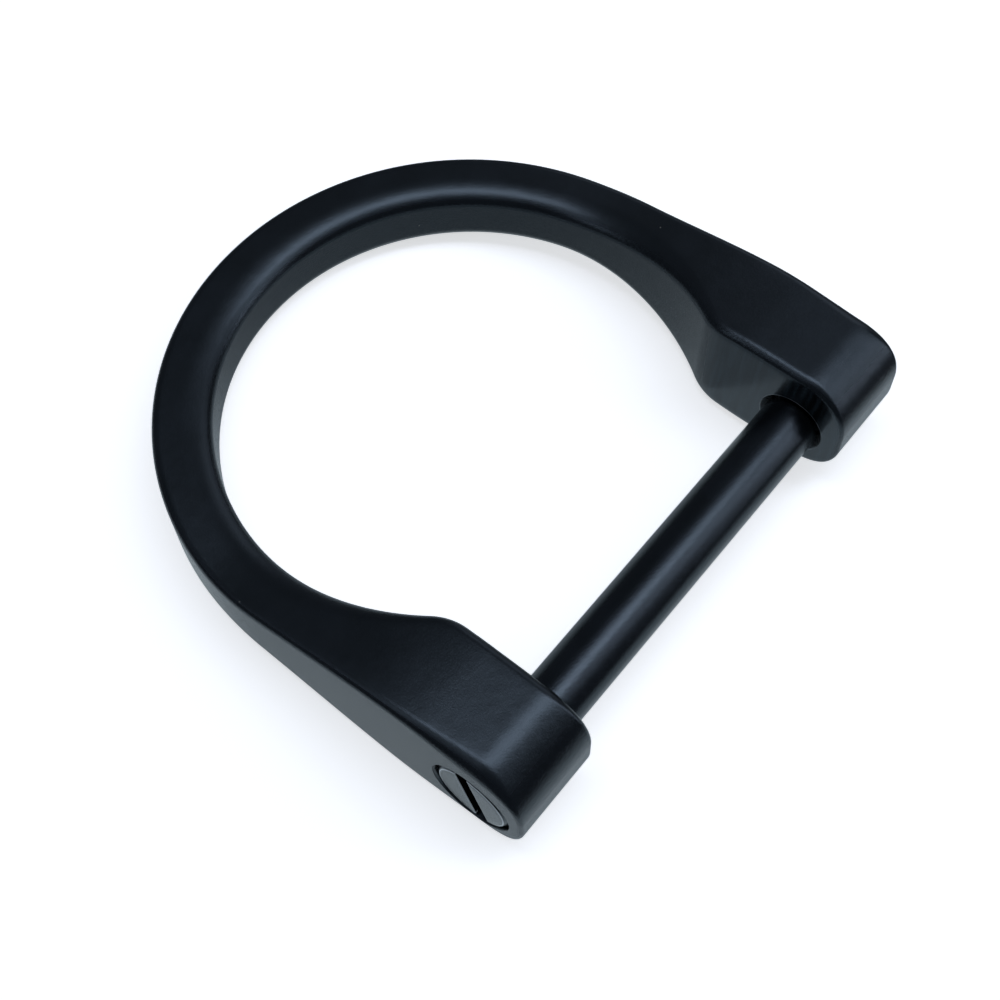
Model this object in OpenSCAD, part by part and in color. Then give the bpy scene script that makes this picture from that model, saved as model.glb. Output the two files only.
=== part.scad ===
// D ring with a removable crossbar: one cast bow, thin at its crown and thick at
// its two ears, closed by one turned screw whose plain shank is the crossbar.
// Millimetres. X runs along the crossbar with the screw's head at -X, Y runs
// towards the crown and Z is up. The origin is the middle of the crossbar's axis.

/* [Opening] */
// Clear length of the crossbar between the two ears
gap = 25; // [18:0.5:32]
// How far each ear stands inside the widest part of the opening
ear_step = 3.2; // [2:0.1:4.5]
// Distance from the crossbar's axis to the centre of the opening's arc
arc_y = 16.2; // [14.5:0.1:22]
// Radius of the rounded shoulder between the arc and each ear
throat_r = 4; // [3:0.1:5.5]

/* [Band] */
// Width of the band at its sides, where the opening is widest
side_w = 3.6; // [2.8:0.1:5]
// Width of the band at the crown
crown_w = 3.75; // [2.8:0.05:6]
// Thickness of the band at the crown
band_t = 4.2; // [3:0.1:6]
// Lean of each outer side towards the ears, in degrees
side_lean = 1.1; // [0:0.1:2.5]

/* [Ears] */
// Thickness of the ears
ear_t = 8.4; // [7.4:0.1:10]
// Distance from the crossbar's axis to the end of each ear
heel = 3.55; // [3.3:0.05:5]
// Height of the small flat that is left between the rounded edges of an ear's end
heel_flat = 1.4; // [0.8:0.1:2.5]
// Height of the bow's middle plane above the crossbar's axis
rise = 0.55; // [0:0.05:0.9]
// Distance from the crossbar's axis at which the ears begin to thin
taper_from = 3.4; // [2:0.1:5]
// Distance from the crossbar's axis at which the band's thickness is reached
taper_to = 20.7; // [16:0.1:26]

/* [Edges] */
// Radius of the upper inner edges at the ears
inner_edge_r = 0.65; // [0.4:0.05:1.2]
// Width of the upper inner edge's softer rounding at the crown
crown_edge_w = 1.8; // [0.6:0.05:2]
// Depth of the upper inner edge's softer rounding at the crown
crown_edge_h = 0.9; // [0.5:0.05:1.2]
// Radius of the lower inner edges
inner_low_r = 1; // [0.5:0.05:1.2]
// Radius of the outer edges along the band
outer_edge_r = 0.5; // [0.3:0.05:1]
// Radius of the outer edges at the end of the ears
heel_edge_r = 0.9; // [0.4:0.05:1.2]
// Radius of the upright corners at the end of the ears
corner_r = 0.3; // [0.2:0.05:0.8]

/* [Screw] */
// Diameter of the crossbar, the screw's plain shank
bar_d = 3.85; // [3:0.05:4.2]
// Step of the radius from the shank up to the collar in the head's ear
collar_step = 0.22; // [0.2:0.02:0.3]
// Width of the annular seat under the head
seat_w = 0.38; // [0.25:0.01:0.5]
// Height of the head
head_h = 2.1; // [1.6:0.1:2.6]
// Bevel around the head's top
head_bevel = 0.2; // [0.1:0.05:0.3]
// Width of the driver slot
slot_w = 0.9; // [0.6:0.05:1.2]
// Depth of the driver slot
slot_h = 1.1; // [0.7:0.1:1.3]
// Turn of the slot from the Y axis, in degrees
slot_turn = 69; // [0:1:179]
// Length of the thread
thread_l = 3.6; // [2.5:0.1:4.2]
// Pitch of the thread
pitch = 0.6; // [0.4:0.05:0.7]
// Step of the radius from the shank down to the thread's crest
thread_step = 0.19; // [0.17:0.01:0.3]

/* [Fits] */
// Radial clearance of the collar and of the thread in their holes
fit_gap = 0.07; // [0.05:0.01:0.15]
// Radial clearance of the head in its counterbore
head_gap = 0.15; // [0.06:0.01:0.2]
// Clearance under the head
seat_gap = 0.05; // [0.03:0.01:0.1]
// Depth of the head's top below the ear's outer face
head_sink = 0.03; // [0.01:0.01:0.3]
// Bevel at the mouth of each hole on the inner side of the ears
mouth = 0.35; // [0.2:0.05:0.5]
// Wall left between the point of the blind tapped hole and the ear's outer face
blind_wall = 0.8; // [0.5:0.1:1.4]

/* [Hidden] */
$fn = 96;

black = [0.13, 0.15, 0.17];

// plan of the bow
inner_r = gap / 2 + ear_step;
outer_r = inner_r + side_w;
outer_cy = arc_y + crown_w - side_w;
crown_y = outer_cy + outer_r;
throat_x = gap / 2 + throat_r;
throat_turn = acos(throat_x / (inner_r + throat_r));
throat_y = arc_y - (inner_r + throat_r) * sin(throat_turn);
lean_x = outer_r * cos(side_lean);
lean_y = outer_cy - outer_r * sin(side_lean);
ear_face = lean_x - lean_y * tan(side_lean);

// rounding of the ears' ends
heel_r = (ear_t - heel_flat) / 2;
heel_y = heel_r - heel;

// screw
bar_r = bar_d / 2;
collar_r = bar_r + collar_step;
head_r = collar_r + seat_w;
thread_r = bar_r - thread_step;
root_r = thread_r - 0.6 * pitch;
head_top = head_sink - ear_face;
head_base = head_top + head_h;
drill_point = 0.5 * thread_r;
bore_end = ear_face - blind_wall - drill_point;
thread_x = gap / 2 + 0.8;
tip_x = min(thread_x + thread_l, bore_end - 0.2);

// fineness of the bow's surface
edge_steps = 4;
arc_step = 5;
end_steps = 9;
corner_turn = 70;

function smooth(t) = let (c = min(max(t, 0), 1)) c * c * (3 - 2 * c);
function half_t(y) =
    band_t / 2 + (ear_t - band_t) / 2 * (1 - smooth((y - taper_from) / (taper_to - taper_from)));
function outer_edge(y) =
    outer_edge_r + (heel_edge_r - outer_edge_r) * (1 - smooth((y + heel) / (arc_y + heel)));

// A station is [outer wall point, its normal, inner wall point, its normal] in plan.
function arc_station(a) = let (n = [cos(a), sin(a)])
    [[0, outer_cy] + outer_r * n, n, [0, arc_y] + inner_r * n, -n];
function outer_x(y) =
    y > lean_y ? sqrt(pow(outer_r, 2) - pow(y - outer_cy, 2)) : lean_x - (lean_y - y) * tan(side_lean);
function outer_n(y) =
    y > lean_y ? [outer_x(y), y - outer_cy] / outer_r : [cos(side_lean), -sin(side_lean)];
function side_station(y) = [
    [outer_x(y), y], outer_n(y),
    each y > arc_y - inner_r * sin(throat_turn)
        ? let (x = sqrt(pow(inner_r, 2) - pow(y - arc_y, 2)))
            [[x, y], [-x, arc_y - y] / inner_r]
        : y > throat_y
            ? let (x = throat_x - sqrt(pow(throat_r, 2) - pow(y - throat_y, 2)))
                [[x, y], [x - throat_x, y - throat_y] / throat_r]
            : [[gap / 2, y], [-1, 0]]];

stations = [
    for (a = [90:-arc_step:0]) arc_station(a),
    for (a = [arc_step:arc_step:throat_turn - 1]) side_station(arc_y - inner_r * sin(a)),
    for (a = [throat_turn:-throat_turn / 6:0.01]) side_station(throat_y + throat_r * sin(a)),
    for (k = [0:4]) side_station(throat_y + (heel_y - throat_y) * k / 4)];

// One rounded edge of [width, depth], from the wall up to the flat: [x, y, drop below the flat]
function edge(wall, n, size) = [
    for (k = [0:edge_steps]) let (a = 90 * k / edge_steps, p = wall - n * size[0] * (1 - cos(a)))
        [p.x, p.y, size[1] * (1 - sin(a))]];
function reversed(list) = [for (k = [len(list) - 1:-1:0]) list[k]];
function edges(s, outer, inner) =
    concat(edge(s[0], s[1], outer), reversed(edge(s[2], s[3], inner)));

// Sizes of the outer, upper inner and lower inner edges at height y of the plan
ear_edge = [inner_edge_r, inner_edge_r];
crown_edge = [crown_edge_w, crown_edge_h];
low_edge = [inner_low_r, inner_low_r];
function around(y) = [outer_edge(y), outer_edge(y)];
function upper(y) =
    ear_edge + (crown_edge - ear_edge) * smooth((y - throat_y) / (arc_y + inner_r - throat_y));
function top_edges(s) = edges(s, around(s[0].y), upper(s[2].y));
function low_edges(s) = edges(s, around(s[0].y), low_edge);

// The ring of points around the band at a station, and one at an angle around an ear's end
function ring(top, low) = concat(
    [for (p = top) [p.x, p.y, rise + half_t(p.y) - p.z]],
    [for (p = reversed(low)) [p.x, p.y, rise - half_t(p.y) + p.z]]);
function end_point(p, a, side) = let (y = heel_y - (heel_r - p.z) * sin(a)) [
    p.x + (p.x > gap / 2 + side_w / 2 ? (y - heel_y) * tan(side_lean) : 0), y,
    rise + side * (ear_t / 2 - heel_r + (heel_r - p.z) * cos(a))];
function end_ring(top, low, a) = concat(
    [for (p = top) end_point(p, a, 1)], [for (p = reversed(low)) end_point(p, a, -1)]);

// The edges tighten into the upright corners over the first corner_turn degrees of an ear's end
last = stations[len(stations) - 1];
corner = [corner_r, corner_r];
function end_edges(inner, a) = let (t = smooth(a / corner_turn))
    edges(last, around(last[0].y) * (1 - t) + corner * t, inner * (1 - t) + corner * t);

right = concat(
    [for (s = stations) ring(top_edges(s), low_edges(s))],
    [for (k = [1:end_steps]) let (a = 90 * k / end_steps)
        end_ring(end_edges(ear_edge, a), end_edges(low_edge, a), a)]);
left = [for (k = [len(right) - 1:-1:1]) [for (p = right[k]) [-p.x, p.y, p.z]]];
rings = concat(left, right);

// Height of the underside over the flat of the bow's plan
function underside(y) = rise - half_t(y);
crown_foot = crown_y - outer_edge_r;
// The bow lies on its ears and its crown, so it is turned about the crossbar until both touch
rest_tilt = atan(max([for (y = [heel_y:0.2:taper_to])
    (underside(crown_foot) - underside(y)) / (crown_foot - y)]));

// A closed skin through rings of equal count, with a strip across each end
module skin(rings) {
    n = len(rings[0]);
    last = len(rings) - 1;
    points = [for (r = rings) each r];
    sides = [for (i = [0:last - 1], j = [0:n - 1])
        let (a = i * n + j, b = i * n + (j + 1) % n) [a, a + n, b + n, b]];
    caps = [for (i = [0, last], j = [0:n / 2 - 2])
        let (q = [for (k = [j, j + 1, n - 2 - j, n - 1 - j]) i * n + k]) i == 0 ? q : reversed(q)];
    polyhedron(points, concat(sides, caps), convexity = 6);
}

// A round bar along X through the sections [x, radius]
module turned(sections) {
    rotate([0, 90, 0]) rotate_extrude()
        polygon(concat([[0, sections[0][0]]], [for (s = sections) [s[1], s[0]]],
            [[0, sections[len(sections) - 1][0]]]));
}

module head_hole() {
    seat = head_base + seat_gap;
    turned([
        [-ear_face - 1, head_r + head_gap], [seat, head_r + head_gap],
        [seat, collar_r + fit_gap], [-gap / 2 - mouth, collar_r + fit_gap],
        [-gap / 2, collar_r + fit_gap + mouth], [-gap / 2 + 1, collar_r + fit_gap + mouth]]);
}

module tapped_hole() {
    turned([
        [gap / 2 - 1, bar_r + mouth], [gap / 2, bar_r + mouth],
        [gap / 2 + mouth + thread_step, thread_r + fit_gap],
        [bore_end, thread_r + fit_gap], [bore_end + drill_point, 0]]);
}

module bow() {
    color(black) difference() {
        rotate([-rest_tilt, 0, 0]) skin(rings);
        head_hole();
        tapped_hole();
    }
}

module screw() {
    turns = floor((tip_x - thread_x - 0.3) / pitch);
    flank = 0.4 * pitch;
    thread = [for (k = [0:turns - 1]) let (x = thread_x + k * pitch) each [
        [x, root_r], [x + flank, thread_r], [x + pitch - flank, thread_r], [x + pitch, root_r]]];
    color(black) difference() {
        turned(concat(
            [[head_top, head_r - head_bevel], [head_top + head_bevel, head_r],
                [head_base, head_r], [head_base, collar_r],
                [-gap / 2 - collar_step, collar_r], [-gap / 2, bar_r], [gap / 2, bar_r],
                [gap / 2 + bar_r - root_r, root_r]],
            thread,
            [[tip_x - 0.3, root_r], [tip_x, root_r - 0.3]]));
        rotate([slot_turn, 0, 0]) translate([head_top - 1, -head_r - 1, -slot_w / 2])
            cube([slot_h + 1, 2 * head_r + 2, slot_w]);
    }
}

bow();
screw();
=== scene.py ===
"""A black D ring with a screw crossbar, dressed over its CAD frame.

Both pieces are surfaces worked out with numpy in millimetres, on the same sizes as
the CAD: X along the crossbar with the screw's head at -X, Y towards the crown and Z
up, from the middle of the crossbar's axis. Meshes, camera and lights are in metres.
"""
import math

import bmesh
import bpy
import numpy as np
from mathutils import Matrix, Vector


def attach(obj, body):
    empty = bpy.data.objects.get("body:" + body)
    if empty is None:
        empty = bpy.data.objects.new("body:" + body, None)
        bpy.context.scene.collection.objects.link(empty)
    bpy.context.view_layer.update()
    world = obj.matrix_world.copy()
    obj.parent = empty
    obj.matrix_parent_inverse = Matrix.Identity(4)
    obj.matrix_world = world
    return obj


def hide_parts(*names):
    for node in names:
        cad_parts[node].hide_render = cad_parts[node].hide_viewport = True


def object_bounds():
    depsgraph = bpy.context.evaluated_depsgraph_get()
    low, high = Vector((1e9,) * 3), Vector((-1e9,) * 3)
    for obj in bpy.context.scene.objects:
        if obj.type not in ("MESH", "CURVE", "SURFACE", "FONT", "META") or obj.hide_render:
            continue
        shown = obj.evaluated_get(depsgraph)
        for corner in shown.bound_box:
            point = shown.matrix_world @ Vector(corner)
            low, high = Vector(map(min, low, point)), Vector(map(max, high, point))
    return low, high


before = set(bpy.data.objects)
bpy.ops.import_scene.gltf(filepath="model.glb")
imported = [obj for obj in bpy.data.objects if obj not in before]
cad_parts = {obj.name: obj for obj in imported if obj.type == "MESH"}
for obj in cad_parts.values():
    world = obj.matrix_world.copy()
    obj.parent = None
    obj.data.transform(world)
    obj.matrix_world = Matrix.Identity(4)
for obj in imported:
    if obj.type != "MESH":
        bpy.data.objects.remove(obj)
cad_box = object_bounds()

MM = 0.001                # in metres

# Opening and band, mm
GAP = 25.0                # clear length of the crossbar
EAR_STEP = 3.2            # how far an ear stands inside the opening's widest part
ARC_Y = 16.2              # crossbar's axis to the centre of the opening's arc
THROAT_R = 4.0            # round shoulder between the arc and an ear
SIDE_W, CROWN_W = 3.6, 3.75
SKIN = 0.008              # the smooth skin stays this far inside the faceted solid's corners
BAND_T, EAR_T = 4.2, 8.4 - 2 * SKIN
SIDE_LEAN = math.radians(1.1)

# Ears, mm
HEEL = 3.55 - SKIN        # crossbar's axis to an ear's end
HEEL_FLAT = 1.4           # flat left between the rounded edges of an ear's end
RISE = 0.55               # middle plane above the crossbar's axis
TAPER_FROM, TAPER_TO = 3.4, 20.7

# Width and depth of each edge in mm, the outer ones worn a little softer than the solid's
EAR_EDGE, CROWN_EDGE, LOW_EDGE = np.array([[0.65, 0.65], [1.8, 0.95], [1.0, 1.0]])
OUTER_EDGE, HEEL_EDGE = np.array([[0.6, 0.55], [1.2, 1.15]])
EDGE_GROWTH = 10.0        # length over which the outer edges grow towards an ear's end
CORNER_R, CORNER_TURN = 0.3, math.radians(70)   # upright corners of the ears' ends
FOOT_IN = 0.5             # the crown's resting line, in from its outer wall

# Screw and its holes, mm
BAR_R = 3.85 / 2
COLLAR_STEP, SEAT_W = 0.22, 0.38   # from the shank up to the collar, and on up to the head
COLLAR_R = BAR_R + COLLAR_STEP
HEAD_R = COLLAR_R + SEAT_W
HEAD_H, HEAD_BEVEL, HEAD_SINK = 2.1, 0.2, 0.03
SLOT_W, SLOT_H, SLOT_TURN = 0.9, 1.1, math.radians(69)
THREAD_STEP = 0.19        # from the shank down to the thread's crest
THREAD_R = BAR_R - THREAD_STEP
THREAD_L, PITCH = 3.6, 0.6
ROOT_R = THREAD_R - 0.6 * PITCH   # a metric thread is about 0.6 of its pitch deep
GROOVE = 0.2              # depth of the tapped hole's thread
FIT_GAP = 0.07            # round the collar and the thread
HEAD_GAP, SEAT_GAP = 0.15, 0.05   # round the head and under it
MOUTH = 0.35              # chamfer of both holes at the crossbar
RELIEF_L = 0.8            # from an ear's inner face to the thread's start
TIP_GAP = 0.2             # from the screw's tip to the full bore's end
BLIND_WALL = 0.8          # metal left past the drill's point

# Finish of the turned and drilled edges, mm
RIM_R = 0.07              # round on the counterbore's rim
BREAK = 0.04              # break of the head's bevel and of the slot's lips
HEAD_ROUND = 0.06         # round under the head
SLOT_CORNER = 0.1         # bevel along the slot's floor
TIP_CHAMFER = 0.3
TOP_RING = 0.5            # width of the outermost ring of faces on the head's flat top
THREAD_IN = 0.3           # from the tapped hole's chamfer to where its grooves fade in
LEAD = 0.1                # from a corner of the screw's outline to its next even section
FACE_DEPTH = 0.3          # past an ear's inner face, where that face's finish ends
OVERSHOOT, HAIR = 1.0, 0.01   # a cutter's reach past a face, and its least step

# Places worked out from the sizes above
INNER_R = GAP / 2 + EAR_STEP
OUTER_R = INNER_R + SIDE_W
OUTER_CY = ARC_Y + CROWN_W - SIDE_W
CROWN_Y = OUTER_CY + OUTER_R
THROAT_X = GAP / 2 + THROAT_R
THROAT_TURN = math.acos(THROAT_X / (INNER_R + THROAT_R))
THROAT_Y = ARC_Y - (INNER_R + THROAT_R) * math.sin(THROAT_TURN)
LEAN_X = OUTER_R * math.cos(SIDE_LEAN)
LEAN_Y = OUTER_CY - OUTER_R * math.sin(SIDE_LEAN)
EAR_FACE = LEAN_X - LEAN_Y * math.tan(SIDE_LEAN)
HEEL_R = (EAR_T - HEEL_FLAT) / 2
HEEL_Y = HEEL_R - HEEL

HEAD_TOP = HEAD_SINK - EAR_FACE
HEAD_BASE = HEAD_TOP + HEAD_H
DRILL_POINT = 0.5 * THREAD_R   # depth of the drill's cone
BORE_END = EAR_FACE - BLIND_WALL - DRILL_POINT
THREAD_X = GAP / 2 + RELIEF_L
TIP_X = min(THREAD_X + THREAD_L, BORE_END - TIP_GAP)


# Meshes

def solid_mesh(name, points, faces):
    """A mesh object at the origin from points in mm and index quads or triangles."""
    mesh = bpy.data.meshes.new(name)
    mesh.from_pydata((np.asarray(points) * MM).tolist(), [], [f.tolist() for f in faces])
    mesh.update()
    obj = bpy.data.objects.new(name, mesh)
    bpy.context.scene.collection.objects.link(obj)
    return obj


def strip_faces(rows, cols, closed):
    """Quads between neighbouring rows of a rows x cols grid, round the columns if closed."""
    last = cols if closed else cols - 1
    i, j = np.meshgrid(np.arange(rows - 1), np.arange(last), indexing="ij")
    k = (j + 1) % cols
    quads = np.stack([i * cols + j, (i + 1) * cols + j, (i + 1) * cols + k, i * cols + k], -1)
    return quads.reshape(-1, 4)


def outward(obj):
    """Merges doubles and turns every face outwards."""
    bm = bmesh.new()
    bm.from_mesh(obj.data)
    bmesh.ops.remove_doubles(bm, verts=bm.verts, dist=1e-4 * MM)
    bmesh.ops.recalc_face_normals(bm, faces=bm.faces)
    bm.to_mesh(obj.data)
    bm.free()


def cut(obj, *cutters):
    """Takes the cutters' solids out of obj for good and removes them."""
    for c in cutters:
        m = obj.modifiers.new("cut", "BOOLEAN")
        m.operation, m.object, m.solver = "DIFFERENCE", c, "EXACT"
    shaped = obj.evaluated_get(bpy.context.evaluated_depsgraph_get())
    done = bpy.data.meshes.new_from_object(shaped)
    obj.modifiers.clear()
    old, obj.data = obj.data, done
    bpy.data.meshes.remove(old)
    done.name = obj.name
    for c in cutters:
        bpy.data.objects.remove(c)


def soften(obj, crease=32):
    """Smooth shading that stays sharp at edges of more than crease degrees."""
    obj.data.shade_smooth()
    obj.data.set_sharp_from_angle(angle=math.radians(crease))


# The bow's form

def ease(t):
    """3t^2 - 2t^3 on 0..1, level at both ends."""
    c = np.clip(t, 0, 1)
    return c * c * (3 - 2 * c)


def half_t(y):
    """Half the bow's thickness at y: ears, then an eased taper, then the band."""
    taper = ease((y - TAPER_FROM) / (TAPER_TO - TAPER_FROM))
    return BAND_T / 2 + (EAR_T - BAND_T) / 2 * (1 - taper)


def outer_edge(y):
    """Width and depth of the outer edges, growing from the band to the ears' ends."""
    return HEEL_EDGE + (OUTER_EDGE - HEEL_EDGE) * ease((y + HEEL) / EDGE_GROWTH)[:, None]


def upper_edge(y):
    """Width and depth of the upper inner edge, growing from the ears to the crown."""
    return EAR_EDGE + (CROWN_EDGE - EAR_EDGE) * ease((y - THROAT_Y) / (3 * THROAT_R))[:, None]


def arc_plan(a):
    """Outer wall, its normal, inner wall and its normal at polar angles a, each wall being
    its centre + r (cos a, sin a)."""
    n = np.column_stack([np.cos(a), np.sin(a)])
    return [0, OUTER_CY] + OUTER_R * n, n, [0, ARC_Y] + INNER_R * n, -n


def side_plan(y):
    """The same at heights y below the arc's centre. Outside it is the arc, then a line that
    leans in. Inside it is the arc, x = sqrt(R^2 - (y - c)^2), then the shoulder's arc,
    x = cx - sqrt(r^2 - (y - cy)^2), tangent to it, then the ear's flat face."""
    on_arc = y > LEAN_Y
    outer_x = np.where(on_arc, np.sqrt(np.maximum(OUTER_R**2 - (y - OUTER_CY) ** 2, 0)),
                       LEAN_X - (LEAN_Y - y) * math.tan(SIDE_LEAN))
    outer_n = np.where(on_arc[:, None], np.column_stack([outer_x, y - OUTER_CY]) / OUTER_R,
                       [math.cos(SIDE_LEAN), -math.sin(SIDE_LEAN)])
    wide_x = np.sqrt(np.maximum(INNER_R**2 - (y - ARC_Y) ** 2, 0))
    turn_x = THROAT_X - np.sqrt(np.maximum(THROAT_R**2 - (y - THROAT_Y) ** 2, 0))
    wide = y > ARC_Y - INNER_R * math.sin(THROAT_TURN)
    turn = y > THROAT_Y
    inner_x = np.where(wide, wide_x, np.where(turn, turn_x, GAP / 2))
    wide_n = np.column_stack([-wide_x, ARC_Y - y]) / INNER_R
    turn_n = np.column_stack([turn_x - THROAT_X, y - THROAT_Y]) / THROAT_R
    inner_n = np.where(wide[:, None], wide_n, np.where(turn[:, None], turn_n, [-1.0, 0.0]))
    return np.column_stack([outer_x, y]), outer_n, np.column_stack([inner_x, y]), inner_n


def edge_profile(plan, outer_size, inner_size, steps, flats):
    """Plan points and drop below the flat across the top of every section. An edge of width w
    and depth h at angle a is wall - normal w (1 - cos a), with drop h (1 - sin a)."""
    a = np.linspace(0, np.pi / 2, steps + 1)
    outer, inner = (wall[:, None] - normal[:, None] * (size[:, :1] * (1 - np.cos(a)))[..., None]
                    for wall, normal, size in ((*plan[:2], outer_size), (*plan[2:], inner_size)))
    out_drop, in_drop = (size[:, 1:] * (1 - np.sin(a)) for size in (outer_size, inner_size))
    t = np.linspace(0, 1, flats + 1)[1:-1, None]
    flat = outer[:, -1:] * (1 - t) + inner[:, -1:] * t
    level = np.zeros((len(outer), flats - 1))
    return (np.concatenate([outer, flat, inner[:, ::-1]], 1),
            np.concatenate([out_drop, level, in_drop[:, ::-1]], 1))


def rest_tilt():
    """The turn about the crossbar at which the underside touches at the crown and the ears."""
    foot = CROWN_Y - FOOT_IN
    y = np.arange(HEEL_Y, TAPER_TO, 0.05)
    return math.atan(np.max((half_t(y) - half_t(np.array(foot))) / (foot - y)))


TILT = rest_tilt()


def tilted(points):
    """Points turned about the crossbar by the rest tilt, crown down."""
    p = np.array(points, float)
    y, z = p[..., 1].copy(), p[..., 2].copy()
    p[..., 1] = y * math.cos(TILT) + z * math.sin(TILT)
    p[..., 2] = z * math.cos(TILT) - y * math.sin(TILT)
    return p


def bow_face(side, inner_sizes, ear_size, plan, end, steps, flats):
    """The upper (side 1) or lower (side -1) face of the right half with its edges, as rings
    across the band from the crown to the ear and then over the ear's end. On the end a ring at
    angle t stands at y = heel_y - (R - drop) sin t, z = T/2 - R + (R - drop) cos t, and its
    edges go over to the corners' radius by 3u^2 - 2u^3 with u = t / corner_turn."""
    outer_sizes = outer_edge(plan[0][:, 1])
    xy, drop = edge_profile(plan, outer_sizes, inner_sizes, steps, flats)
    band = np.dstack([xy, RISE + side * (half_t(xy[..., 1]) - drop)])

    t = np.linspace(0, np.pi / 2, end + 1)[1:, None]
    u = ease(t / CORNER_TURN)
    last = [np.repeat(part[-1:], end, 0) for part in plan]
    out_size, in_size = (size * (1 - u) + CORNER_R * u for size in (outer_sizes[-1], ear_size))
    xy, drop = edge_profile(last, out_size, in_size, steps, flats)
    end_y = HEEL_Y - (HEEL_R - drop) * np.sin(t)
    outside = xy[..., 0] > GAP / 2 + SIDE_W / 2
    end_x = xy[..., 0] + np.where(outside, (end_y - HEEL_Y) * math.tan(SIDE_LEAN), 0)
    end_z = RISE + side * (EAR_T / 2 - HEEL_R + (HEEL_R - drop) * np.cos(t))
    return np.concatenate([band, np.dstack([end_x, end_y, end_z])])


def bow_skin(crown=60, side=120, end=30, steps=12, flats=10, wall=24):
    """The casting without its holes: rings of points round the band, from one ear's end over
    the crown to the other's. The counts are steps along the crown's quarter, a side and an
    ear's end, and round a ring along an edge, a flat and a wall."""
    a = np.linspace(np.pi / 2, 0, crown + 1)
    y = np.linspace(ARC_Y, HEEL_Y, side + 1)[1:]
    plan = [np.concatenate(pair) for pair in zip(arc_plan(a), side_plan(y))]
    inner_y = plan[2][:, 1]
    low_edges = np.tile(LOW_EDGE, (len(inner_y), 1))
    top = bow_face(1, upper_edge(inner_y), EAR_EDGE, plan, end, steps, flats)
    under = bow_face(-1, low_edges, LOW_EDGE, plan, end, steps, flats)

    w = np.linspace(0, 1, wall + 1)[:, None]
    inner = (top[:, -1:] * (1 - w) + under[:, -1:] * w)[:, 1:-1]
    outer = (under[:, :1] * (1 - w) + top[:, :1] * w)[:, 1:-1]
    right = np.concatenate([top, inner, under[:, ::-1], outer], 1)
    rings = np.concatenate([right[:0:-1] * [-1, 1, 1], right])
    points = rings.reshape(-1, 3)
    faces = [strip_faces(*rings.shape[:2], True)]

    # the flat strip that closes each ear's end, on points of its own that are merged after
    w = w[..., None]
    for mirror in (1, -1):
        cap = (top[-1][None] * (1 - w) + under[-1][None] * w) * [mirror, 1, 1]
        quads = strip_faces(wall + 1, cap.shape[1], False) + len(points)
        faces.append(quads[:, ::mirror])
        points = np.concatenate([points, cap.reshape(-1, 3)])
    return tilted(points), np.concatenate(faces)


# Turned and drilled forms

def turned(name, sections, sides=128, thread=None):
    """A body of revolution about the X axis through the sections (x, radius). thread(x, turn)
    gives a change of radius at x for each part of a turn from 0 to 1."""
    x, r = np.array(sections, float).T[..., None]
    u = np.arange(sides) / sides
    radius = r + (thread(x, u) if thread else 0 * u)
    a = 2 * np.pi * u
    grid = np.stack([x + 0 * radius, radius * np.cos(a), radius * np.sin(a)], -1)
    points = np.concatenate([grid.reshape(-1, 3), [[x[0, 0], 0, 0], [x[-1, 0], 0, 0]]])

    k = np.arange(sides)
    after = (k + 1) % sides
    last_ring, centre = (len(x) - 1) * sides, len(x) * sides
    faces = list(strip_faces(len(x), sides, True))
    faces += list(np.column_stack([np.full(sides, centre), k, after]))
    faces += list(np.column_stack([np.full(sides, centre + 1), last_ring + after, last_ring + k]))
    obj = solid_mesh(name, points, faces)
    outward(obj)
    return obj


def along(x0, x1, r, step):
    """Sections of one radius every step or so from x0 to x1, without the last."""
    n = max(int((x1 - x0) / step), 1)
    return [(x, r) for x in np.linspace(x0, x1, n + 1)[:-1]]


def helix(depth, x0, x1, steepness=2.6, root_flat=0.35):
    """A 60 degree thread's change of radius: its depth times a triangle wave of
    x / pitch - turn, made steeper and lowered so that it has flat roots, and faded in and
    out over one pitch."""
    def change(x, u):
        p = (x / PITCH - u) % 1
        ridge = np.clip((0.5 - np.abs(p - 0.5)) * steepness - root_flat, 0, 1)
        fade = ease((x - x0) / PITCH) * ease((x1 - x) / PITCH)
        return depth * ridge * fade
    return change


def make_bow():
    """The casting with its two holes. The counterbore's rim is rounded by two bevels. The ear's
    face leans across it, by less than that round."""
    points, faces = bow_skin()
    bow = solid_mesh("cast_bow", points, faces)
    outward(bow)

    face, seat = -EAR_FACE, HEAD_BASE + SEAT_GAP
    hole_r, collar_hole = HEAD_R + HEAD_GAP, COLLAR_R + FIT_GAP
    rim_r = hole_r + 1.2 * RIM_R
    head_hole = turned("head_hole", [
        (face - OVERSHOOT, rim_r), (face - HAIR, rim_r),
        (face + RIM_R, hole_r + 0.2 * RIM_R), (face + 2 * RIM_R, hole_r),
        (seat, hole_r), (seat, collar_hole), (-GAP / 2 - MOUTH, collar_hole),
        (-GAP / 2, collar_hole + MOUTH), (-GAP / 2 + OVERSHOOT, collar_hole + MOUTH)])

    bore_r = THREAD_R + FIT_GAP
    bore_x = GAP / 2 + MOUTH + THREAD_STEP
    tapped_hole = turned("tapped_hole", [
        (GAP / 2 - OVERSHOOT, BAR_R + MOUTH), (GAP / 2, BAR_R + MOUTH), (bore_x, bore_r),
        *along(bore_x + HAIR, BORE_END, bore_r, step=0.05),
        (BORE_END, bore_r), (BORE_END + DRILL_POINT, 2 * HAIR)],
        thread=helix(GROOVE, GAP / 2 + MOUTH + THREAD_IN, BORE_END))

    cut(bow, head_hole, tapped_hole)
    soften(bow)
    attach(bow, "bow")
    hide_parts("bow")
    return bow


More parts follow.
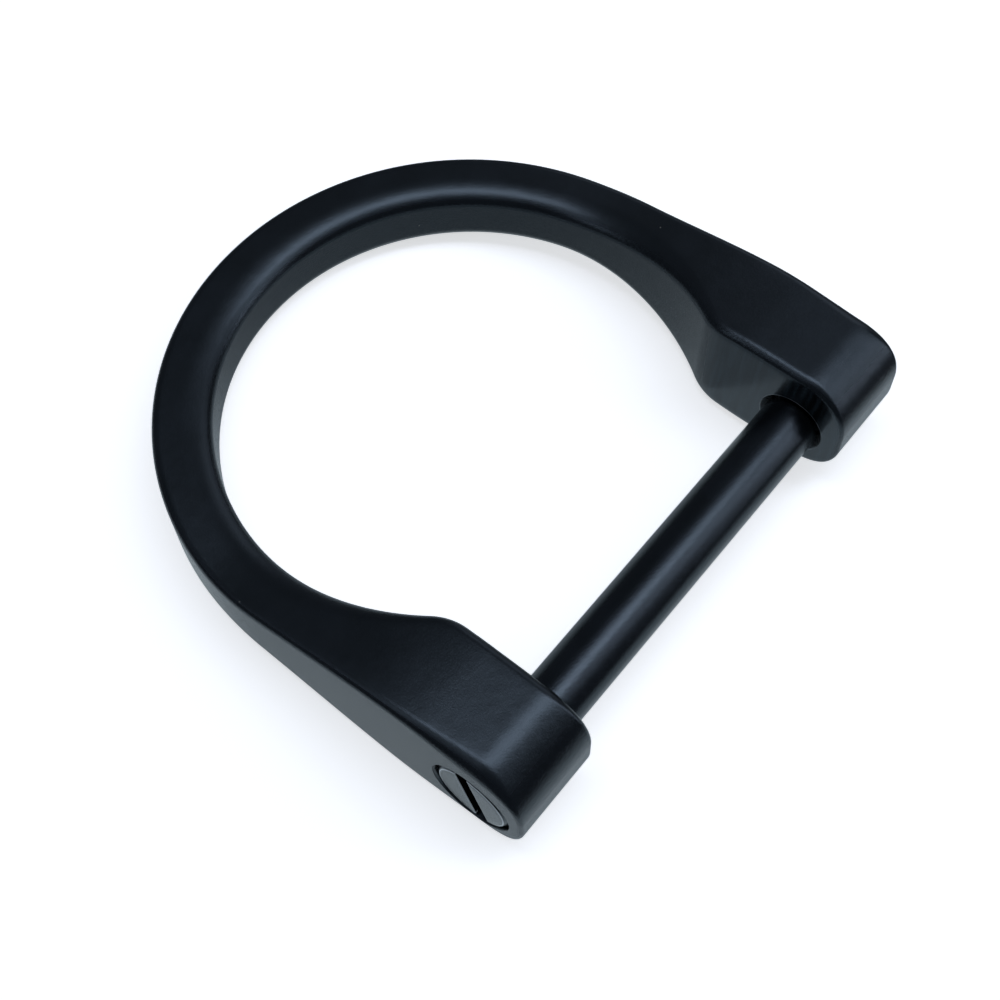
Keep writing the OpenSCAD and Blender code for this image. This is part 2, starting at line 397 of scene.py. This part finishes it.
def slot_cutter():
    """The driver slot: a bar across the head, turned about the X axis. Its outline has a lip
    that bevels the slot's edges at the head's top and a bevel along its floor."""
    half, past, floor = SLOT_W / 2, HEAD_TOP - OVERSHOOT, HEAD_TOP + SLOT_H
    side = np.array([(past, half + BREAK), (HEAD_TOP, half + BREAK), (HEAD_TOP + BREAK, half),
                     (floor - SLOT_CORNER, half), (floor, half - SLOT_CORNER)])
    outline = np.concatenate([side * [1, -1], side[::-1]])
    n, reach = len(outline), HEAD_R + OVERSHOOT
    x, z = np.tile(outline, (2, 1)).T
    y = np.repeat([-reach, reach], n)
    c, s = math.cos(SLOT_TURN), math.sin(SLOT_TURN)
    k = np.arange(n)
    around = np.column_stack([k, (k + 1) % n, (k + 1) % n + n, k + n])
    cutter = solid_mesh("slot", np.column_stack([x, y * c - z * s, y * s + z * c]),
                        [*around, k[::-1], k + n])
    outward(cutter)
    return cutter


def make_screw():
    """The screw: head, collar, shank, relief and thread, turned, with the slot cut across it.
    Each end of the head's bevel is broken by a small bevel of its own."""
    bevel_r, bevel_x = HEAD_R - HEAD_BEVEL, HEAD_TOP + HEAD_BEVEL
    thread_end = TIP_X - TIP_CHAMFER
    sections = [
        (HEAD_TOP, bevel_r - TOP_RING), (HEAD_TOP, bevel_r - BREAK),
        (HEAD_TOP + 0.3 * BREAK, bevel_r), (HEAD_TOP + 1.25 * BREAK, bevel_r + BREAK),
        (bevel_x - BREAK, HEAD_R - 1.25 * BREAK), (bevel_x, HEAD_R - 0.3 * BREAK),
        (HEAD_BASE - HEAD_ROUND, HEAD_R), (HEAD_BASE, HEAD_R - HEAD_ROUND),
        (HEAD_BASE, COLLAR_R), (-GAP / 2 - COLLAR_STEP, COLLAR_R), (-GAP / 2, BAR_R),
        *along(-GAP / 2 + LEAD, GAP / 2, BAR_R, step=0.5),
        (GAP / 2, BAR_R), (GAP / 2 + BAR_R - ROOT_R, ROOT_R),
        *along(THREAD_X - LEAD, thread_end, ROOT_R, step=0.04),
        (thread_end, ROOT_R), (TIP_X, ROOT_R - TIP_CHAMFER)]
    thread = helix(THREAD_R - ROOT_R, THREAD_X, thread_end)
    screw = turned("screw_bar", sections, thread=lambda x, u: np.where(x > THREAD_X, thread(x, u), 0))
    cut(screw, slot_cutter())
    soften(screw)
    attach(screw, "screw")
    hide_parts("screw")
    return screw


# Materials

COAT_IOR = 1.58                     # a cured epoxy coat
COAT_TINT = (0.72, 0.87, 1.0, 1.0)  # its sheen is a cold one
BLACK, PATCH = "#060708", "#0c0e11"  # the coat, and where it is a little paler
BLASTED, FILED, TURNED = "#1b2023", "#262f34", "#2a3033"   # its grain, strokes and tool marks
# dust specks; a highlight painted on the tapped hole's mouth; bare steel where the screw's coat is
# worn through, pale enough to be a painted highlight on its bevels too
DUST, MOUTH_HIGHLIGHT, BARE_STEEL_AND_HIGHLIGHT = "#a8a49a", "#8f9598", "#f2f6f8"
EVEN = (1, 1, 1)                    # a pattern that is stretched along no axis


def linear(hex_colour, alpha=1.0):
    """An sRGB hex colour as linear red, green, blue and alpha."""
    c = np.array([int(hex_colour[i:i + 2], 16) for i in (1, 3, 5)]) / 255
    c = np.where(c <= 0.04045, c / 12.92, ((c + 0.055) / 1.055) ** 2.4)
    return (*c.tolist(), alpha)


def add(tree, kind, inputs=None, **settings):
    """Adds a shader node of that kind with its settings and returns its outputs. An input
    given as a socket is linked, any other is set."""
    node = tree.nodes.new("ShaderNode" + kind)
    for key, value in settings.items():
        setattr(node, key, value)
    for key, value in (inputs or {}).items():
        if isinstance(value, bpy.types.NodeSocket):
            tree.links.new(value, node.inputs[key])
        else:
            node.inputs[key].default_value = value
    return node.outputs


def new_material(name):
    """An empty material with its node tree."""
    mat = bpy.data.materials.new(name)
    mat.use_nodes = True
    mat.node_tree.nodes.clear()
    return mat, mat.node_tree


def grains(tree, place, rows):
    """Noise patterns on the object for the rows (size in mm, stretch along each axis, detail,
    roughness): noise of place / stretch / size."""
    patterns = []
    for size, stretch, detail, roughness in rows:
        spread = add(tree, "VectorMath", {0: place, 1: [1 / k for k in stretch]}, operation="MULTIPLY")
        patterns.append(add(tree, "TexNoise", {
            "Vector": spread[0], "Scale": 1 / (size * MM), "Detail": detail,
            "Roughness": roughness})["Fac"])
    return patterns


def painted(tree, base, layers):
    """The base colour under layers. A layer (pattern, low, high, masks, colour) covers what is
    below it by an eased step of its pattern from low to high, times each of its masks. A Mix
    node's share is its input 0, its colours are 6 and 7, and its numbers are 2 and 3."""
    colour = linear(base)
    for pattern, low, high, masks, paint in layers:
        cover = add(tree, "MapRange", {"Value": pattern, "From Min": low, "From Max": high},
                    interpolation_type="SMOOTHSTEP")["Result"]
        for mask in masks:
            cover = add(tree, "Math", {0: cover, 1: mask}, operation="MULTIPLY")[0]
        colour = add(tree, "Mix", {0: cover, 6: colour, 7: linear(paint)}, data_type="RGBA")[2]
    return colour


def relief(tree, parts):
    """The surface's height: the sum of pattern x mask x share over the parts."""
    height = 0.0
    for pattern, mask, share in parts:
        masked = add(tree, "Math", {0: pattern, 1: mask}, operation="MULTIPLY")[0]
        height = add(tree, "Math", {0: masked, 1: share, 2: height}, operation="MULTIPLY_ADD")[0]
    return height


def off_line(tree, value, line):
    """How far a value is from a line, |value - line|, with the line in mm."""
    past = add(tree, "Math", {0: value, 1: line * MM}, operation="SUBTRACT")[0]
    return add(tree, "Math", {0: past}, operation="ABSOLUTE")[0]


def distance_from_bar(tree, place):
    """Distance from the crossbar's axis, sqrt(y^2 + z^2)."""
    flat = add(tree, "VectorMath", {0: place, 1: (0, 1, 1)}, operation="MULTIPLY")
    return add(tree, "VectorMath", {0: flat[0]}, operation="LENGTH")["Value"]


def dust(tree, place, spacing, radius, share):
    """A layer of lone round specks of that radius in mm, in that share of cells spacing mm
    apart: the step of the distance from a cell's point."""
    cells = add(tree, "TexVoronoi", {"Vector": place, "Scale": 1 / (spacing * MM)})
    tint = add(tree, "SeparateColor", {"Color": cells["Color"]})
    chosen = add(tree, "Math", {0: tint["Red"], 1: share}, operation="LESS_THAN")[0]
    return cells["Distance"], radius / spacing, 0.4 * radius / spacing, (chosen, 0.9), DUST


def coat(tree, colour, roughness, height, depth):
    """The black coat with that colour, roughness and relief, a unit of height being depth mm."""
    bump = add(tree, "Bump", {"Strength": 1.0, "Distance": depth * MM, "Height": height})
    shader = add(tree, "BsdfPrincipled", {
        "Base Color": colour, "Roughness": roughness, "IOR": COAT_IOR, "Specular Tint": COAT_TINT,
        "Normal": bump["Normal"]})
    add(tree, "OutputMaterial", {"Surface": shader["BSDF"]})


def black_coat_on_cast_zinc():
    """Satin black electrophoretic coat over a blasted zinc die casting. The coat is nearly
    black and what shows is its sheen, over the grain of the blasted walls, the rubbed and
    smoother flats, the tumbled and smoothest edges, file strokes on the ears' inner faces
    and dust specks. The blasted grain is drawn about twice as coarse as the real one."""
    mat, tree = new_material("satin_black_coat_on_cast_zinc")
    coords = add(tree, "TexCoord")
    place = coords["Object"]
    normal, spot = (add(tree, "SeparateXYZ", {0: part}) for part in (coords["Normal"], place))
    upright, sideways, aside = (add(tree, "Math", {0: part}, operation="ABSOLUTE")[0]
                                for part in (normal["Z"], normal["X"], spot["X"]))
    grain, cast, patch, strokes, end_lines = grains(tree, place, [
        (0.11, EVEN, 3.0, 0.7), (1.3, EVEN, 2.0, 0.5), (3.5, EVEN, 3.0, 0.6),
        (0.3, (1, 1, 14), 2.0, 0.6), (0.09, (22, 1, 1), 2.0, 0.6)])
    glance = add(tree, "LayerWeight", {"Blend": 0.5})["Facing"]

    # eased steps of a value from low to high, which give first to last: on the flats upright
    # is 1 and on the walls it is 0
    steps = (
        (upright, 0.97, 0.4, 0.8, 3.4), (upright, 0.97, 0.4, 0.2, 1.0),
        (upright, 0.97, 0.4, 0.27, 0.33), (upright, 0.85, 0.65, 0.0, 1.0),
        (upright, 0.05, 0.3, 0.0, 1.0), (sideways, 0.9, 0.99, 0.0, 1.0),
        (normal["Y"], -0.8, -0.97, 0.0, 1.0), (patch, 0.42, 0.6, 0.0, 1.0),
        (glance, 0.55, 0.95, 1.0, 0.5))
    wall_grain, wall_sand, wall_rough, below_flat, above_wall, facing, ear_end, highlight_patches, sheen = (
        add(tree, "MapRange", {"Value": value, "From Min": low, "From Max": high, "To Min": first,
                               "To Max": last}, interpolation_type="SMOOTHSTEP")["Result"]
        for value, low, high, first, last in steps)

    # masks: the turned-over edges, near the opening, the two inner faces and all but those
    edge = add(tree, "Math", {0: below_flat, 1: above_wall}, operation="MULTIPLY")[0]
    near = add(tree, "Math", {0: aside, 1: (GAP / 2 + FACE_DEPTH) * MM}, operation="LESS_THAN")[0]
    inner_face = add(tree, "Math", {0: facing, 1: near}, operation="MULTIPLY")[0]
    rough_cast = add(tree, "Math", {0: 1.0, 1: inner_face}, operation="SUBTRACT")[0]

    # the turned-over edges keep 0.6 of the grain and half of the roughness
    edge_grain = add(tree, "Math", {0: edge, 1: -0.4, 2: 1.0}, operation="MULTIPLY_ADD")[0]
    grain_share = add(tree, "Math", {0: wall_grain, 1: edge_grain}, operation="MULTIPLY")[0]
    height = relief(tree, [(grain, rough_cast, grain_share), (cast, rough_cast, 1.6),
                           (strokes, inner_face, 0.5), (end_lines, ear_end, 1.2)])

    # a pale ring painted round the tapped hole's mouth, in patches: a painted highlight on its chamfer
    mouth = off_line(tree, distance_from_bar(tree, place), BAR_R + MOUTH)
    colour = painted(tree, BLACK, [
        (patch, 0.35, 0.7, (), PATCH),
        (grain, 0.46, 0.68, (wall_sand, rough_cast), BLASTED),
        (strokes, 0.35, 0.75, (inner_face,), FILED),
        dust(tree, place, spacing=1.6, radius=0.055, share=0.22),
        (mouth, 0.06 * MM, 0.02 * MM, (near, highlight_patches, 0.8), MOUTH_HIGHLIGHT)])

    rough = add(tree, "Mix", {0: inner_face, 2: wall_rough, 3: 0.15})[0]
    rough = add(tree, "Math", {0: patch, 1: 0.06, 2: rough}, operation="MULTIPLY_ADD")[0]
    edge_sheen = add(tree, "Math", {0: edge, 1: -0.5, 2: 1.0}, operation="MULTIPLY_ADD")[0]
    for smoother in (sheen, edge_sheen):
        rough = add(tree, "Math", {0: rough, 1: smoother}, operation="MULTIPLY")[0]
    coat(tree, colour, rough, height, depth=0.012)
    return mat


def black_coat_on_turned_steel():
    """The same black coat over a smooth turned steel screw, with fine tool rings round the
    shank and the coat rubbed through on the rim of the head and the lips of its slot, to a near
    white grey that is also a painted highlight on those bevels."""
    mat, tree = new_material("satin_black_coat_on_turned_steel")
    place = add(tree, "TexCoord")["Object"]
    spot = add(tree, "SeparateXYZ", {0: place})
    across = add(tree, "VectorMath", {0: place, 1: (0, -math.sin(SLOT_TURN), math.cos(SLOT_TURN))},
                 operation="DOT_PRODUCT")["Value"]
    half_across = add(tree, "Math", {0: across}, operation="ABSOLUTE")[0]
    grain, rings, patch = grains(tree, place, [
        (0.1, EVEN, 3.0, 0.7), (0.06, (1, 60, 60), 2.0, 0.6), (2.5, EVEN, 3.0, 0.6)])
    height = relief(tree, [(grain, 1.0, 1.3), (rings, 1.0, 0.3)])

    rim = off_line(tree, distance_from_bar(tree, place), HEAD_R - 1.2 * HEAD_BEVEL)
    lips = off_line(tree, half_across, SLOT_W / 2 + BREAK / 2)
    on_bevel, on_top = (
        add(tree, "Math", {0: spot["X"], 1: (HEAD_TOP + deep) * MM}, operation="LESS_THAN")[0]
        for deep in (HEAD_BEVEL, 1.5 * BREAK))
    colour = painted(tree, BLACK, [
        (patch, 0.35, 0.7, (), PATCH),
        (grain, 0.55, 0.8, (0.35,), TURNED),
        dust(tree, place, spacing=1.4, radius=0.05, share=0.2),
        # the head's rim and the slot's lips: coat worn through to bare steel, painted near white so
        # that it is also their bevels' highlight
        (rim, 0.07 * MM, 0.03 * MM, (on_bevel, 0.95), BARE_STEEL_AND_HIGHLIGHT),
        (lips, 0.08 * MM, 0.03 * MM, (on_top, 0.57), BARE_STEEL_AND_HIGHLIGHT)])
    rough = add(tree, "Math", {0: patch, 1: 0.06, 2: 0.15}, operation="MULTIPLY_ADD")[0]
    coat(tree, colour, rough, height, depth=0.01)
    return mat


# Camera and stage

# the photograph's camera in the bow's own plane, before the rest tilt: degrees and mm
CAM_AZIMUTH, CAM_ELEVATION, CAM_ROLL = -49.0, 60.73, -2.05
CAM_TARGET = (-3.27, 10.72, 0.0)
CAM_DISTANCE = 94.7
CAM_SCALE = 16.266 / 1000   # of the picture's width for each mm at the target
SENSOR = 36.0

# the white paper's colour and radiance, and the sheets that the coat reflects: name, middle's
# Y, radius and drop in mm, and radiance
WHITE_PAPER = ("#f4f5f6", 0.72)
# the shaded paper's lower glow is painted shade: the ring's own shadow inside the D
REFLECTED = (("dim_paper", 12.0, 33.0, 0.02, 0.72), ("shaded_paper", ARC_Y, 15.2, 0.01, 0.4))
REFLECTED_COLOUR = "#c6d3da"

# name, direction, turn of the longer side in degrees, length and width in mm, brightness
LIGHTS = (
    ("overhead_strip", (0.135, -0.01, 1), -43, (490, 115), 1.5),
    ("overhead_fill", (0.31, 0.22, 1), -43, (330, 110), 0.12),
    ("left_strip", (-0.64, 0.38, 0.67), 150, (270, 90), 0.38),
    ("front_middle", (0.47, -0.52, 0.72), -49, (150, 150), 0.55),
    ("front_strip", (0.59, -0.68, 0.44), -49, (200, 110), 0.6),
    ("front_low", (0.64, -0.76, 0.14), -49, (100, 120), 0.5),
    ("right_fill", (0.85, 0.2, 0.45), 90, (300, 220), 0.18))
LIGHT_CENTRE, LIGHT_DISTANCE = (0, 10, 0), 450   # mm, the point that they face and how far off
LIGHT_COLOUR, WORLD_COLOUR, WORLD_STRENGTH = "#e6efff", "#dce9ff", 0.1


def make_camera():
    """A camera that looks at the target from the azimuth and elevation, turned by its roll."""
    az, el, roll = (math.radians(v) for v in (CAM_AZIMUTH, CAM_ELEVATION, CAM_ROLL))
    back = np.array([math.sin(az) * math.cos(el), -math.cos(az) * math.cos(el), math.sin(el)])
    level = np.array([math.cos(az), math.sin(az), 0.0])
    upward = np.cross(back, level)
    right = math.cos(roll) * level + math.sin(roll) * upward
    up = math.cos(roll) * upward - math.sin(roll) * level
    data = bpy.data.cameras.new("camera")
    data.sensor_width, data.lens = SENSOR, SENSOR * CAM_SCALE * CAM_DISTANCE
    data.clip_start, data.clip_end = 0.01, 10
    cam = bpy.data.objects.new("camera", data)
    bpy.context.scene.collection.objects.link(cam)
    turn = Matrix([tilted(v).tolist() for v in (right, up, back)]).transposed().to_4x4()
    place = tilted(np.array(CAM_TARGET) + back * CAM_DISTANCE) * MM
    cam.matrix_world = Matrix.Translation(Vector(place.tolist())) @ turn
    bpy.context.scene.camera = cam


def soft_light(name, direction, turn, size, brightness):
    """A rectangular light that faces the object from a direction. Its size is in mm, turn is
    the angle in degrees of its longer side in plan, and its power is brightness x pi^2 x area."""
    data = bpy.data.lights.new(name, "AREA")
    data.shape, data.size, data.size_y = "RECTANGLE", size[0] * MM, size[1] * MM
    data.energy = brightness * math.pi**2 * data.size * data.size_y
    data.color = linear(LIGHT_COLOUR)[:3]
    light = bpy.data.objects.new(name, data)
    bpy.context.scene.collection.objects.link(light)
    back = Vector(direction).normalized()
    a = math.radians(turn)
    long_side = Vector((math.cos(a), math.sin(a), 0))
    long_side = (long_side - back * long_side.dot(back)).normalized()
    axes = Matrix((long_side, back.cross(long_side), back)).transposed().to_4x4()
    place = (Vector(LIGHT_CENTRE) + back * LIGHT_DISTANCE) * MM
    light.matrix_world = Matrix.Translation(place) @ axes


def stage_sheet(name, points, faces, colour, radiance):
    """A sheet of the stage, a matt paper that also glows with that colour and radiance."""
    mesh = bpy.data.meshes.new(name)
    mesh.from_pydata(points, [], faces)
    mesh.shade_smooth()
    sheet = bpy.data.objects.new(name, mesh)
    bpy.context.scene.collection.objects.link(sheet)
    mat, tree = new_material("plain_" + name)
    shader = add(tree, "BsdfPrincipled", {
        "Base Color": linear(colour), "Roughness": 0.9, "Specular IOR Level": 0.2,
        "Emission Color": linear(colour), "Emission Strength": radiance})
    add(tree, "OutputMaterial", {"Surface": shader["BSDF"]})
    mesh.materials.append(mat)
    return sheet


def white_sweep(height, reach=1.0, bend=0.5, wall=1.5, sides=96):
    """A round floor that bends up into a wall: out along the radius, a quarter circle of the
    bend's radius, then straight up, carried round the Z axis. Metres."""
    a = np.linspace(0, np.pi / 2, 17)
    r = np.concatenate([[0.002, reach / 2], reach + bend * np.sin(a), [reach + bend]])[:, None]
    z = np.concatenate([[0, 0], bend * (1 - np.cos(a)), [wall]])[:, None]
    u = 2 * np.pi * np.arange(sides) / sides
    grid = np.stack([r * np.cos(u), r * np.sin(u), height + z + 0 * u], -1)
    faces = strip_faces(len(r), sides, True).tolist() + [list(range(sides))]
    return stage_sheet("white_paper", grid.reshape(-1, 3).tolist(), faces, *WHITE_PAPER)


def paper_disc(name, y, radius, drop, radiance, sides=64):
    """A level disc that lies drop mm below the object's lowest point."""
    u = 2 * np.pi * np.arange(sides) / sides
    x, y, z = radius * np.cos(u) * MM, (y + radius * np.sin(u)) * MM, cad_box[0][2] - drop * MM
    points = np.column_stack([x, y, z + 0 * u]).tolist()
    return stage_sheet(name, points, [tuple(range(sides))], REFLECTED_COLOUR, radiance)


def make_stage():
    """The camera sees a white sweep, and the coat reflects a small dimmer glowing paper, and inside
    the D a disc that glows dimmer still, a painted shade for the ring's own shadow there."""
    floor = white_sweep(cad_box[0][2])
    floor.visible_diffuse = floor.visible_glossy = False
    for row in REFLECTED:
        paper_disc(*row).visible_camera = False
    for row in LIGHTS:
        soft_light(*row)

    world = bpy.data.worlds.new("studio")
    bpy.context.scene.world = world
    world.use_nodes = True
    background = world.node_tree.nodes["Background"].inputs
    background["Color"].default_value = linear(WORLD_COLOUR)
    background["Strength"].default_value = WORLD_STRENGTH
    bpy.context.scene.view_settings.view_transform = "Standard"


for piece, finish in (
        (make_bow(), black_coat_on_cast_zinc), (make_screw(), black_coat_on_turned_steel)):
    piece.data.materials.clear()
    piece.data.materials.append(finish())
make_camera()
make_stage()
